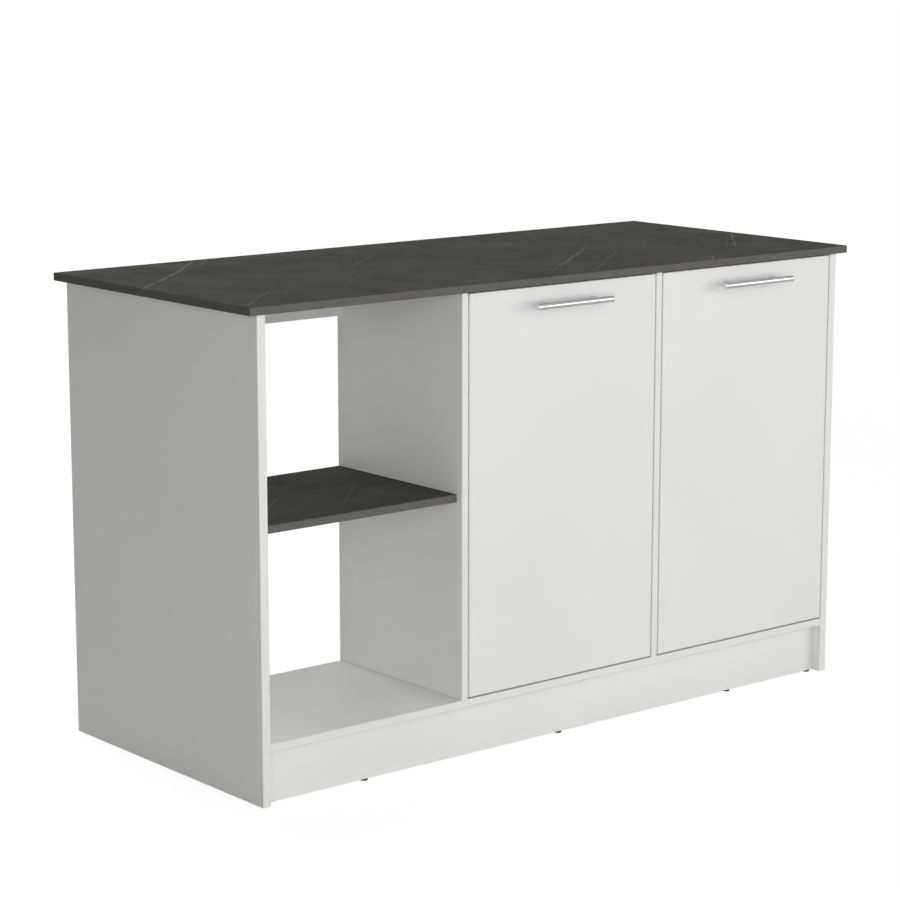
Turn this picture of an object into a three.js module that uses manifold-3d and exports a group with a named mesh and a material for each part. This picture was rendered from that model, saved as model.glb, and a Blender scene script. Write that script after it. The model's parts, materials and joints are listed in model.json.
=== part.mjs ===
// Kitchen island unit: three bays under one worktop. The left bay is open at the front and the back and has
// one shelf. The other two are cupboards behind inset doors on concealed cup hinges. The side panels and the
// worktop run on past the carcass at the back, over a knee space for stools.
//
// Millimetres. +X points right seen from the front, +Y from the front to the back, +Z up. The origin is on
// the floor, under the middle of the overall box.
//
// Until the last lines everything is placed from the left side panel's outer face (x = 0), the plane of the
// panels' front edges and the door faces (y = 0) and the floor (z = 0).

import * as THREE from "three";
import { mergeVertices } from "three/addons/utils/BufferGeometryUtils.js";
import Module from "manifold-3d";

// ---- Driving dimensions ----

const WORKTOP = { width: 1500, depth: 640, thickness: 15, sideOverhang: 22, frontOverhang: 10 };
const SIDE_PANEL = { thickness: 18, depth: 620, height: 885 };
const BOARD = 15; // dividers, bottom, shelves, rails, plinths and doors
const OPEN_BAY_WIDTH = 440;
const CUPBOARD_WIDTH = 475;
const CARCASS_DEPTH = 375;
const BACK_SHEET = 3;
const PLINTH = { height: 100, recess: 22 };
const RAIL_HEIGHT = 80;
const SHELF_TOP = 512; // above the floor
const OPEN_SHELF_SETBACK = 15;
const CUPBOARD_SHELF = { setback: 45, backGap: 5, endGap: 1 };
const STRETCHER_SETBACK = 40; // leaves room for the door edges, which swing inwards
const EDGE_EASE = 1; // chamfer along a board's edges

const GLIDE = { radius: 7.5, height: 4, nailRadius: 1.2, nailLength: 12 };
const GLIDE_X = [28, 248, 726, 1190, 1428];

const SHELF_PIN = { pegRadius: 2.5, pegLength: 6.4, ledge: 8, leg: 12, width: 10, sheet: 1.5, pegDrop: 6 };
const PIN_HOLES = { radius: 2.8, depth: 6.7, pitch: 32, eachWay: 2 };
const PIN_Y = [77, 335];
const CAM_BORE = { radius: 7.5, depth: 12, fromEnd: 34, fromEdge: 51 }; // for the boards' hidden fittings

const DOOR_GAP = 3; // all round each inset door
const HANDLE = { length: 192, radius: 6, standOff: 29, postSpacing: 128, postRadius: 4.5, belowDoorTop: 34 };
const HANDLE_SCREW_RADIUS = 2.25;

// A concealed hinge is drawn from its door's front corner: x into the door, y to the back, z from its centre.
const HINGE_INSET = 90; // from the door's top and bottom edges
const PIVOT = { x: 20, y: 8.5, radius: 1.6, halfLength: 16.8 };
const CUP = { x: 21.5, radius: 17.2, wall: 1.2, floorY: 3.5, rimRadius: 19.5, rim: 1.5 };
const CUP_EARS = { halfLength: 30, halfWidth: 7, screwZ: 24, screwRadius: 2.3 };
const CUP_BORE = { radius: 17.5, depth: 11.8 };
const ARM = { sheet: 2, halfWidth: 7.5, webX: 4, bendY: 47, endY: 90, cheek: 3.8, knuckleRadius: 3.4 };
const PLATE = { sheet: 1.5, wingY: 52, halfLength: 26, halfWidth: 7, screwZ: 16, screwRadius: 2.6 };
const PLATE_BLOCK = { halfWidth: 5, fromY: 50, toY: 86 };
const ARM_SLOT = { y: 79, halfLength: 5.5, halfWidth: 2.4 }; // for the screw that clamps the arm to its plate
const ARM_ADJUSTER = { y: 60, radius: 2.3 };

const FIT = 0.3; // clearance round a piece that sits in a bore or on a round
const OVERRUN = 1; // how far a cutting tool runs past the face that it cuts
const ROUND_SIDES = 28; // facets round a hinge cup and its bore
const PIN_SIDES = 12; // facets round a hinge pin and its holes
const CAM_SIDES = 20; // facets round a cam fitting's bore

const FINISH = {
  whiteBoard: { color: 0xe0e1de, roughness: 0.45, metalness: 0 },
  stoneLaminate: { color: 0x4a4a47, roughness: 0.55, metalness: 0 },
  brushedSteel: { color: 0xc8cacb, roughness: 0.3, metalness: 1 },
  nickel: { color: 0xb6b6b2, roughness: 0.35, metalness: 1 },
  blackPlastic: { color: 0x1e1e1e, roughness: 0.6, metalness: 0 },
};

// ---- Places worked out from the driving dimensions ----

const bottomTop = GLIDE.height + PLINTH.height + BOARD;
const underWorktop = GLIDE.height + SIDE_PANEL.height;
const openBay = { left: SIDE_PANEL.thickness, right: SIDE_PANEL.thickness + OPEN_BAY_WIDTH };
const cupboardBeside = (bay) => ({ left: bay.right + BOARD, right: bay.right + BOARD + CUPBOARD_WIDTH });
const leftCupboard = cupboardBeside(openBay);
const rightCupboard = cupboardBeside(leftCupboard);
const unitWidth = rightCupboard.right + SIDE_PANEL.thickness;
const doorBottom = bottomTop + DOOR_GAP;
const doorTop = underWorktop - DOOR_GAP;
const doorWidth = CUPBOARD_WIDTH - 2 * DOOR_GAP;
const hingeHeights = { lower: doorBottom + HINGE_INSET, upper: doorTop - HINGE_INSET };
const pinHeight = SHELF_TOP - BOARD - SHELF_PIN.pegDrop;

const X = new THREE.Vector3(1, 0, 0);
const Y = new THREE.Vector3(0, 1, 0);
const Z = new THREE.Vector3(0, 0, 1);

// ---- Solids: cutting and joining ----

const wasm = await Module();
wasm.setup();

function solidOf(geometry) {
  const bare = geometry.clone();
  bare.deleteAttribute("normal");
  bare.deleteAttribute("uv");
  const merged = mergeVertices(bare, 1e-4);
  const triVerts = new Uint32Array(merged.index.array);
  return new wasm.Manifold(
    new wasm.Mesh({ numProp: 3, vertProperties: merged.attributes.position.array, triVerts }),
  );
}

function geometryOf(solid) {
  const { vertProperties, triVerts } = solid.getMesh();
  const geometry = new THREE.BufferGeometry();
  geometry.setAttribute("position", new THREE.BufferAttribute(vertProperties, 3));
  geometry.setIndex(new THREE.BufferAttribute(triVerts, 1));
  geometry.computeVertexNormals();
  return geometry;
}

function join(...geometries) {
  return geometryOf(geometries.map(solidOf).reduce((whole, next) => whole.add(next)));
}

function cut(geometry, tools) {
  return geometryOf(tools.map(solidOf).reduce((left, tool) => left.subtract(tool), solidOf(geometry)));
}

// ---- Basic forms ----

// A board between two opposite corners, with every edge eased by a small chamfer.
function board(low, high, ease = EDGE_EASE) {
  const [dx, dy, dz] = high.map((value, axis) => value - low[axis]);
  const outline = new THREE.Shape();
  outline.moveTo(ease, 0).lineTo(dx - ease, 0).lineTo(dx, ease).lineTo(dx, dy - ease);
  outline.lineTo(dx - ease, dy).lineTo(ease, dy).lineTo(0, dy - ease).lineTo(0, ease);
  const bevel = { bevelSegments: 1, bevelThickness: ease, bevelSize: ease, bevelOffset: -ease };
  const geometry = new THREE.ExtrudeGeometry(outline, { depth: dz - 2 * ease, ...bevel });
  return geometry.translate(low[0], low[1], low[2] + ease);
}

// A round rod, or the drill for a hole, that starts at a point and runs along a unit vector.
function rod(start, direction, length, radius, sides) {
  const geometry = new THREE.CylinderGeometry(radius, radius, length, sides);
  geometry.translate(0, length / 2, 0);
  geometry.applyQuaternion(new THREE.Quaternion().setFromUnitVectors(Y, direction));
  return geometry.translate(...start);
}

// A flat plate with round ends in the local x-z plane, its thickness running from y = 0 to y = thickness.
function roundEndedPlate(halfLength, halfWidth, thickness) {
  const straight = halfLength - halfWidth;
  const outline = new THREE.Shape();
  outline.absarc(0, straight, halfWidth, 0, Math.PI, false);
  outline.absarc(0, -straight, halfWidth, Math.PI, 2 * Math.PI, false);
  const plate = { depth: thickness, bevelEnabled: false, curveSegments: 6 };
  return new THREE.ExtrudeGeometry(outline, plate).rotateX(-Math.PI / 2);
}

// The outline of a strip of sheet metal bent along a centreline.
function stripOutline(centreline, thickness) {
  const oneSide = [];
  const otherSide = [];
  centreline.forEach((point, i) => {
    const before = centreline[Math.max(i - 1, 0)];
    const after = centreline[Math.min(i + 1, centreline.length - 1)];
    const along = after.clone().sub(before).normalize();
    const across = new THREE.Vector2(-along.y, along.x).multiplyScalar(thickness / 2);
    oneSide.push(point.clone().add(across));
    otherSide.unshift(point.clone().sub(across));
  });
  return new THREE.Shape([...oneSide, ...otherSide]);
}

function piece(name, geometry, finish) {
  const mesh = new THREE.Mesh(geometry, new THREE.MeshStandardMaterial(finish));
  mesh.name = name;
  return mesh;
}

// ---- Carcass ----

// The blind holes for shelf supports in one cupboard wall. A drill goes along +X or -X from the wall's face.
function pinHoleDrills(faceX, towards) {
  const drills = [];
  const length = PIN_HOLES.depth + OVERRUN;
  const direction = X.clone().multiplyScalar(towards);
  for (const y of PIN_Y) {
    for (let step = -PIN_HOLES.eachWay; step <= PIN_HOLES.eachWay; step += 1) {
      const start = [faceX - towards * OVERRUN, y, pinHeight + step * PIN_HOLES.pitch];
      drills.push(rod(start, direction, length, PIN_HOLES.radius, 8));
    }
  }
  return drills;
}

// The drill for a cam fitting's blind bore, going into a board from a point on its face.
function camDrill(point, direction) {
  const start = direction.clone().multiplyScalar(-OVERRUN).add(new THREE.Vector3(...point));
  return rod(start.toArray(), direction, CAM_BORE.depth + OVERRUN, CAM_BORE.radius, CAM_SIDES);
}

// The x of the bores near the two ends of a board that spans a bay.
function boreXs({ left, right }) {
  return [left + CAM_BORE.fromEnd, right - CAM_BORE.fromEnd];
}

// A side panel, bored in the knee space for the fitting that holds the worktop down at its back.
function sidePanel(left) {
  const right = left + SIDE_PANEL.thickness;
  const plain = board([left, 0, GLIDE.height], [right, SIDE_PANEL.depth, underWorktop]);
  const [innerX, outwards] = left === 0 ? [right, X.clone().negate()] : [left, X];
  const place = [innerX, SIDE_PANEL.depth - CAM_BORE.fromEdge, underWorktop - CAM_BORE.fromEnd];
  return cut(plain, [camDrill(place, outwards)]);
}

function divider(left) {
  return board([left, 0, bottomTop], [left + BOARD, CARCASS_DEPTH, underWorktop]);
}

// An upright rail under the worktop, bored from behind at each end.
function rearRail(bay) {
  const low = [bay.left, CARCASS_DEPTH - BOARD, underWorktop - RAIL_HEIGHT];
  const plain = board(low, [bay.right, CARCASS_DEPTH, underWorktop]);
  const forwards = Y.clone().negate();
  const middle = underWorktop - RAIL_HEIGHT / 2;
  return cut(plain, boreXs(bay).map((x) => camDrill([x, CARCASS_DEPTH, middle], forwards)));
}

// A flat stretcher under the worktop, bored from below at each end.
function frontStretcher(bay) {
  const low = [bay.left, STRETCHER_SETBACK, underWorktop - BOARD];
  const plain = board(low, [bay.right, STRETCHER_SETBACK + RAIL_HEIGHT, underWorktop]);
  const middle = STRETCHER_SETBACK + RAIL_HEIGHT / 2;
  return cut(plain, boreXs(bay).map((x) => camDrill([x, middle, underWorktop - BOARD], Z)));
}

// The fixed shelf in the open bay, bored from below near its corners.
function openShelf() {
  const low = [openBay.left, OPEN_SHELF_SETBACK, SHELF_TOP - BOARD];
  const plain = board(low, [openBay.right, CARCASS_DEPTH, SHELF_TOP]);
  const ys = [OPEN_SHELF_SETBACK + CAM_BORE.fromEdge, CARCASS_DEPTH - CAM_BORE.fromEdge];
  const drills = boreXs(openBay).flatMap((x) => ys.map((y) => camDrill([x, y, SHELF_TOP - BOARD], Z)));
  return cut(plain, drills);
}

function cupboardShelf({ left, right }) {
  const { setback, backGap, endGap } = CUPBOARD_SHELF;
  const low = [left + endGap, setback, SHELF_TOP - BOARD];
  return board(low, [right - endGap, CARCASS_DEPTH - backGap, SHELF_TOP]);
}

// A plinth board with a nail hole in its underside for each glide.
function plinth(front) {
  const high = [rightCupboard.right, front + BOARD, GLIDE.height + PLINTH.height];
  const plain = board([openBay.left, front, GLIDE.height], high);
  const nailHole = (x) => {
    const start = [x, front + BOARD / 2, GLIDE.height - OVERRUN];
    return rod(start, Z, GLIDE.nailLength + FIT + OVERRUN, GLIDE.nailRadius + FIT, 8);
  };
  return cut(plain, GLIDE_X.map(nailHole));
}

// A nail-on glide: a dished plastic foot round the head of its nail, which stands up into the plinth.
function glide(x, y) {
  const { radius, height, nailRadius, nailLength } = GLIDE;
  const profile = [
    [0, height + nailLength],
    [nailRadius, height + nailLength - 2],
    [nailRadius, height],
    [radius, height],
    [radius, 1.4],
    [radius - 1.6, 0],
    [0, 0],
  ];
  const points = profile.map(([r, z]) => new THREE.Vector2(r, z)).reverse();
  return new THREE.LatheGeometry(points, 14).rotateX(Math.PI / 2).translate(x, y, 0);
}

// A shelf support: a peg in the wall, and an angle of sheet whose ledge carries the shelf.
// It is drawn for a left-hand wall, with the ledge's top at z = 0.
function shelfPin() {
  const { pegRadius, pegLength, ledge, leg, width, sheet, pegDrop } = SHELF_PIN;
  const angle = new THREE.Shape();
  angle.moveTo(0, 0).lineTo(0, -leg).lineTo(sheet, -leg).lineTo(sheet, -sheet - 1);
  angle.lineTo(sheet + 1, -sheet).lineTo(ledge, -sheet).lineTo(ledge, 0);
  const bent = new THREE.ExtrudeGeometry(angle, { depth: width, bevelEnabled: false });
  bent.rotateX(Math.PI / 2).translate(0, width / 2, 0);
  const peg = rod([-pegLength, 0, -pegDrop], X, pegLength + sheet / 2, pegRadius, 12);
  return join(bent, peg);
}

// ---- Concealed hinge ----

function pivotDrill(halfLength) {
  return rod([PIVOT.x, PIVOT.y, -halfLength], Z, 2 * halfLength, PIVOT.radius + FIT, PIN_SIDES);
}

// The pressed cup that sits in the door's bore, with its rim and two screw ears on the door's back face.
function hingeCup() {
  const { x, radius, wall, floorY, rimRadius, rim } = CUP;
  const inside = radius - wall;
  const profile = [
    [0, floorY],
    [inside, floorY],
    [radius, floorY + wall],
    [radius, BOARD],
    [rimRadius, BOARD],
    [rimRadius, BOARD + rim],
    [inside, BOARD + rim],
    [inside, floorY + 2],
    [inside - 1, floorY + 1],
    [0, floorY + 1],
  ];
  const points = profile.map(([r, y]) => new THREE.Vector2(r, y));
  const cup = new THREE.LatheGeometry(points, ROUND_SIDES);
  const ears = roundEndedPlate(CUP_EARS.halfLength, CUP_EARS.halfWidth, rim).translate(0, BOARD, 0);
  const mouth = rod([0, BOARD - OVERRUN, 0], Y, rim + 2 * OVERRUN, radius - wall / 2, ROUND_SIDES);
  const screwHole = (z) => rod([0, BOARD - OVERRUN, z], Y, rim + 2 * OVERRUN, CUP_EARS.screwRadius, 8);
  const screwHoles = [CUP_EARS.screwZ, -CUP_EARS.screwZ].map(screwHole);
  const body = join(cup, cut(ears, [mouth, ...screwHoles])).translate(x, 0, 0);
  return cut(body, [pivotDrill(radius + OVERRUN)]);
}

// The fixed arm: a knuckle on the pivot inside the cup, a gooseneck that clears the swinging door edge, and a
// channel that sits over the mounting plate's block.
function hingeArm() {
  const { sheet, halfWidth, webX, bendY, endY, cheek, knuckleRadius } = ARM;
  const gooseneck = [
    [PIVOT.x + 2.3, PIVOT.y + 1.9],
    [PIVOT.x + 14, PIVOT.y + 11.8],
    [PIVOT.x + 19, PIVOT.y + 19],
    [PIVOT.x + 13, PIVOT.y + 25.5],
    [PIVOT.x + 1, PIVOT.y + 27.5],
    [PIVOT.x - 9.5, PIVOT.y + 30],
    [webX + 0.6, bendY - 3],
    [webX, bendY],
  ].map(([x, y]) => new THREE.Vector2(x, y));
  const straightened = [bendY + 3, endY].map((y) => new THREE.Vector2(webX, y));
  const centreline = [...new THREE.SplineCurve(gooseneck).getPoints(28), ...straightened];
  const width = { depth: 2 * halfWidth, bevelEnabled: false };
  const strip = new THREE.ExtrudeGeometry(stripOutline(centreline, sheet), width).translate(0, 0, -halfWidth);

  const top = webX + sheet / 2;
  const channel = new THREE.Shape();
  channel.moveTo(top, -halfWidth).lineTo(top, halfWidth).lineTo(top - sheet - cheek, halfWidth);
  channel.lineTo(top - sheet - cheek, halfWidth - sheet).lineTo(top - sheet, halfWidth - sheet);
  channel.lineTo(top - sheet, sheet - halfWidth).lineTo(top - sheet - cheek, sheet - halfWidth);
  channel.lineTo(top - sheet - cheek, -halfWidth);
  const straight = { depth: endY - bendY, bevelEnabled: false };
  const body = new THREE.ExtrudeGeometry(channel, straight).rotateX(-Math.PI / 2).translate(0, bendY, 0);

  const through = sheet + 2 * OVERRUN;
  const slot = roundEndedPlate(ARM_SLOT.halfLength, ARM_SLOT.halfWidth, through);
  slot.rotateX(Math.PI / 2).rotateY(Math.PI / 2).translate(top - sheet - OVERRUN, ARM_SLOT.y, 0);
  const adjusterStart = [top - sheet - OVERRUN, ARM_ADJUSTER.y, 0];
  const adjuster = rod(adjusterStart, X, through, ARM_ADJUSTER.radius, PIN_SIDES);

  const knuckle = rod([PIVOT.x, PIVOT.y, -halfWidth], Z, 2 * halfWidth, knuckleRadius, PIN_SIDES);
  return cut(join(strip, body, knuckle), [pivotDrill(halfWidth + OVERRUN), slot, adjuster]);
}

// The mounting plate: wings screwed to the cupboard wall, and a block that the arm slides over.
function hingePlate() {
  const { sheet, wingY, halfLength, halfWidth, screwZ, screwRadius } = PLATE;
  const wall = -DOOR_GAP;
  const wings = roundEndedPlate(halfLength, halfWidth, sheet).rotateZ(-Math.PI / 2).translate(wall, wingY, 0);
  const { halfWidth: half, fromY, toY } = PLATE_BLOCK;
  const block = board([wall, fromY, -half], [ARM.webX - ARM.sheet / 2, toY, half], 0.4);
  const screwHole = (z) => rod([wall - OVERRUN, wingY, z], X, sheet + 2 * OVERRUN, screwRadius, 8);
  return cut(join(wings, block), [screwZ, -screwZ].map(screwHole));
}

function hingePin() {
  return rod([PIVOT.x, PIVOT.y, -PIVOT.halfLength], Z, 2 * PIVOT.halfLength, PIVOT.radius, PIN_SIDES);
}

function hinge(name, height) {
  const group = new THREE.Group();
  group.add(piece(`${name}_cup`, hingeCup(), FINISH.nickel));
  group.add(piece(`${name}_pin`, hingePin(), FINISH.nickel));
  group.add(piece(`${name}_arm`, hingeArm(), FINISH.nickel));
  group.add(piece(`${name}_plate`, hingePlate(), FINISH.nickel));
  group.position.z = height;
  return group;
}

// ---- Door and handle ----

// The door panel, bored for its hinge cups and drilled for the handle's screws.
function doorPanel() {
  const tools = Object.values(hingeHeights).map((height) => {
    const floor = BOARD - CUP_BORE.depth;
    return rod([CUP.x, floor, height], Y, CUP_BORE.depth + OVERRUN, CUP_BORE.radius, ROUND_SIDES);
  });
  for (const x of postXs()) {
    tools.push(rod([x, -OVERRUN, handleHeight()], Y, BOARD + 2 * OVERRUN, HANDLE_SCREW_RADIUS, 8));
  }
  return cut(board([0, 0, doorBottom], [doorWidth, BOARD, doorTop]), tools);
}

function handleHeight() {
  return doorTop - HANDLE.belowDoorTop;
}

function postXs() {
  return [doorWidth / 2 - HANDLE.postSpacing / 2, doorWidth / 2 + HANDLE.postSpacing / 2];
}

// The bar: a round rod with its end edges turned off.
function handleBar() {
  const { length, radius, standOff } = HANDLE;
  const half = length / 2;
  const outline = [
    [0, -half],
    [radius - 0.8, -half],
    [radius, 0.8 - half],
    [radius, half - 0.8],
    [radius - 0.8, half],
    [0, half],
  ];
  const points = outline.map(([r, y]) => new THREE.Vector2(r, y));
  const bar = new THREE.LatheGeometry(points, 28).rotateZ(-Math.PI / 2);
  return bar.translate(doorWidth / 2, -standOff, handleHeight());
}

// A post from the door's face to the bar, with its end hollowed to sit round the bar.
function handlePost(x) {
  const { radius, standOff, postRadius, length } = HANDLE;
  const post = rod([x, 0, handleHeight()], Y.clone().negate(), standOff, postRadius, 20);
  const saddle = rod([x - length / 2, -standOff, handleHeight()], X, length, radius + FIT, 28);
  return cut(post, [saddle]);
}

// A door with its handle and hinges, drawn for hinges on the left. Its origin is its front hinge-side corner.
function door(name) {
  const group = new THREE.Group();
  group.add(piece(`${name}_panel`, doorPanel(), FINISH.whiteBoard));
  group.add(piece(`${name}_handle_bar`, handleBar(), FINISH.brushedSteel));
  const [hingeSide, closingSide] = postXs();
  group.add(piece(`${name}_handle_post_hinge_side`, handlePost(hingeSide), FINISH.brushedSteel));
  group.add(piece(`${name}_handle_post_closing_side`, handlePost(closingSide), FINISH.brushedSteel));
  for (const [level, height] of Object.entries(hingeHeights)) {
    group.add(hinge(`${name}_${level}_hinge`, height));
  }
  return group;
}

// ---- Assembly ----

const island = new THREE.Group();

function add(name, geometry, finish = FINISH.whiteBoard) {
  island.add(piece(name, geometry, finish));
}

const worktopLow = [-WORKTOP.sideOverhang, -WORKTOP.frontOverhang, underWorktop];
const worktopBack = WORKTOP.depth - WORKTOP.frontOverhang;
const worktopHigh = [WORKTOP.width - WORKTOP.sideOverhang, worktopBack, underWorktop + WORKTOP.thickness];
add("worktop", board(worktopLow, worktopHigh), FINISH.stoneLaminate);

add("left_side_panel", sidePanel(0));
add("right_side_panel", cut(sidePanel(rightCupboard.right), pinHoleDrills(rightCupboard.right, 1)));
add("bay_divider", cut(divider(openBay.right), pinHoleDrills(leftCupboard.left, -1)));
const doorDividerDrills = [...pinHoleDrills(leftCupboard.right, 1), ...pinHoleDrills(rightCupboard.left, -1)];
add("door_divider", cut(divider(leftCupboard.right), doorDividerDrills));
const bottomHigh = [rightCupboard.right, CARCASS_DEPTH, bottomTop];
add("bottom_panel", board([openBay.left, 0, bottomTop - BOARD], bottomHigh));

const backLow = [openBay.right, CARCASS_DEPTH, bottomTop - BOARD];
add("back_sheet", board(backLow, [rightCupboard.right, CARCASS_DEPTH + BACK_SHEET, underWorktop], 0.3));

add("open_bay_rear_rail", rearRail(openBay));
add("left_cupboard_rear_rail", rearRail(leftCupboard));
add("right_cupboard_rear_rail", rearRail(rightCupboard));
add("left_cupboard_front_stretcher", frontStretcher(leftCupboard));
add("right_cupboard_front_stretcher", frontStretcher(rightCupboard));

add("open_bay_shelf", openShelf(), FINISH.stoneLaminate);
add("left_cupboard_shelf", cupboardShelf(leftCupboard));
add("right_cupboard_shelf", cupboardShelf(rightCupboard));

const plinthFronts = { front: PLINTH.recess, rear: CARCASS_DEPTH - PLINTH.recess - BOARD };
for (const [place, y] of Object.entries(plinthFronts)) {
  add(`${place}_plinth`, plinth(y));
  GLIDE_X.forEach((x, i) => add(`${place}_glide_${i + 1}`, glide(x, y + BOARD / 2), FINISH.blackPlastic));
}

for (const [bay, { left, right }] of Object.entries({ left: leftCupboard, right: rightCupboard })) {
  for (const [place, y] of Object.entries({ front: PIN_Y[0], rear: PIN_Y[1] })) {
    const underShelf = SHELF_TOP - BOARD;
    const name = `${bay}_cupboard_shelf_pin_${place}`;
    add(`${name}_left`, shelfPin().translate(left, y, underShelf), FINISH.nickel);
    const turned = shelfPin().rotateZ(Math.PI);
    add(`${name}_right`, turned.translate(right, y, underShelf), FINISH.nickel);
  }
}

const leftDoor = door("left_door");
leftDoor.position.x = leftCupboard.left + DOOR_GAP;
island.add(leftDoor);

const rightDoor = door("right_door");
rightDoor.position.x = rightCupboard.right - DOOR_GAP;
rightDoor.scale.x = -1;
island.add(rightDoor);

// From the front left corner on the floor to the middle of the overall box, handles included.
const handleReach = HANDLE.standOff + HANDLE.radius;
island.position.set(-unitWidth / 2, -(worktopBack - handleReach) / 2, 0);

export default island;
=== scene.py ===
"""Looks of the kitchen island unit: finishes, small fittings, light and camera.

Everything is in metres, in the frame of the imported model: +X to the right, +Y to the back, +Z up, with the
origin on the floor under the middle of the unit.
"""

import json
import math

import bmesh
import bpy
from mathutils import Matrix, Vector

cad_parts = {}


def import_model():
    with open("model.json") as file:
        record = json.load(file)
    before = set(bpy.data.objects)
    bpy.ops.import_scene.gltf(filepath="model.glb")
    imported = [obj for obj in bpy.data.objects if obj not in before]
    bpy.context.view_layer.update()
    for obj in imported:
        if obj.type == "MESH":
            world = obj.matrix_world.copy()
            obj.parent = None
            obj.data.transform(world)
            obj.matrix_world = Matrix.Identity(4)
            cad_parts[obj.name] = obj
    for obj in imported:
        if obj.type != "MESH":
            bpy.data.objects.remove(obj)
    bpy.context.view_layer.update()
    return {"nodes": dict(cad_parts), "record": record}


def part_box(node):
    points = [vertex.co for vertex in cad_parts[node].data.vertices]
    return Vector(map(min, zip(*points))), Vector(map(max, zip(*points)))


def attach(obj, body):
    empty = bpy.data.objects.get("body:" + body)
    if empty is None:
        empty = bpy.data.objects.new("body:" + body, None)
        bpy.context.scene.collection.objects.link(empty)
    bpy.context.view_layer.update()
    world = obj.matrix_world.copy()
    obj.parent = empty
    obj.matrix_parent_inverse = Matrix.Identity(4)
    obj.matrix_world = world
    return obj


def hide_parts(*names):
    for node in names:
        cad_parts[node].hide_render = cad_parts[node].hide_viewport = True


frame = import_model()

MM = 0.001

# ---- Where things are, from the frame ----

DOORS = ("left_door", "right_door")
HINGE_LEVELS = ("lower", "upper")
worktop_low, worktop_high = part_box("worktop")
WORKTOP_CENTRE = (worktop_low + worktop_high) / 2


# ---- Finishes ----


class Finish:
    """A node material under construction. Each method adds nodes and returns the output that they end in."""

    def __init__(self, name):
        self.material = bpy.data.materials.new(name)
        self.material.use_nodes = True
        self.tree = self.material.node_tree
        self.tree.nodes.clear()

    def node(self, kind, inputs, **settings):
        made = self.tree.nodes.new("ShaderNode" + kind)
        for name, value in settings.items():
            setattr(made, name, value)
        for key, value in inputs.items():
            if isinstance(value, bpy.types.NodeSocket):
                self.tree.links.new(value, made.inputs[key])
            else:
                made.inputs[key].default_value = value
        return made

    def place(self):
        """The point's place on the object, which rides with it."""
        return self.node("TexCoord", {}).outputs["Object"]

    def normal(self):
        return self.node("TexCoord", {}).outputs["Normal"]

    def attribute(self, name):
        """A vector that is kept on the object itself."""
        return self.node("Attribute", {}, attribute_type="OBJECT", attribute_name=name).outputs["Vector"]

    def calc(self, operation, *values, clamp=False):
        made = self.node("Math", dict(enumerate(values)), operation=operation, use_clamp=clamp)
        return made.outputs[0]

    def vector(self, operation, *values):
        made = self.node("VectorMath", dict(enumerate(values)), operation=operation)
        return made.outputs["Vector"]

    def scalar(self, operation, *values):
        """A vector operation that ends in one number."""
        made = self.node("VectorMath", dict(enumerate(values)), operation=operation)
        return made.outputs["Value"]

    def scaled(self, vector, factor):
        return self.node("VectorMath", {0: vector, "Scale": factor}, operation="SCALE").outputs["Vector"]

    def part(self, vector, axis):
        return self.node("SeparateXYZ", {0: vector}).outputs[axis]

    def faces_along(self, axis):
        """1 where the surface faces along an axis, either way, down to 0 where it turns its side to it."""
        return self.calc("ABSOLUTE", self.part(self.normal(), axis))

    def noise(self, place, scale, detail=3.0, roughness=0.5, distortion=0.0):
        inputs = {"Vector": place, "Scale": scale, "Detail": detail, "Roughness": roughness}
        return self.node("TexNoise", {**inputs, "Distortion": distortion}).outputs["Fac"]

    def noise_vector(self, place, scale):
        return self.node("TexNoise", {"Vector": place, "Scale": scale, "Detail": 2.0}).outputs["Color"]

    def ramp(self, value, start, end, low=0.0, high=1.0, smooth=False):
        """value from start to end turned into low to high, and held there outside."""
        inputs = {"Value": value, "From Min": start, "From Max": end, "To Min": low, "To Max": high}
        kind = "SMOOTHSTEP" if smooth else "LINEAR"
        return self.node("MapRange", inputs, interpolation_type=kind).outputs["Result"]

    def mix(self, factor, first, second):
        """Two colours mixed."""
        made = self.node("Mix", {"Factor": factor}, data_type="RGBA")
        for socket, value in (("A_Color", first), ("B_Color", second)):
            target = next(s for s in made.inputs if s.identifier == socket)
            if isinstance(value, bpy.types.NodeSocket):
                self.tree.links.new(value, target)
            else:
                target.default_value = (*value, 1.0)
        return next(s for s in made.outputs if s.identifier == "Result_Color")

    def tinted(self, value, start, end, colours):
        """The first colour up to start and the second from end on, with a mix between."""
        return self.mix(self.ramp(value, start, end), *colours)

    def bump(self, height, distance):
        return self.node("Bump", {"Height": height, "Distance": distance, "Strength": 1.0}).outputs[0]

    def surface(self, **inputs):
        """The last step: the shader, with inputs named as its sockets are, with _ for a space."""
        sockets = {name.replace("_", " "): value for name, value in inputs.items()}
        shader = self.node("BsdfPrincipled", sockets)
        self.node("OutputMaterial", {"Surface": shader.outputs[0]})
        return self.material


BOARD_EDGE = 1.0 * MM  # the eased edge of a board
BAND_LINE = 0.25 * MM  # the glue line between a face and its edge band
HOLE_WALL = (1.1 * BOARD_EDGE, 1.3 * BOARD_EDGE)  # between these depths the finish turns into bare board

# Colours are linear red, green and blue. A pair holds the two that a noise goes between.
MELAMINE = ((0.82, 0.82, 0.813), (0.84, 0.84, 0.83))
GLUE = (0.55, 0.55, 0.53)
CHIPBOARD = ((0.28, 0.19, 0.11), (0.5, 0.38, 0.25))
GLUE_SHOWS = 0.3
GLUE_DENT = 0.8  # of the pebble's height
PEBBLE_HEIGHT = 0.03 * MM
MELAMINE_GLOSS = 0.35
NOISE_SPREAD = (0.35, 0.65)  # most of a noise's values lie in here


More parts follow.
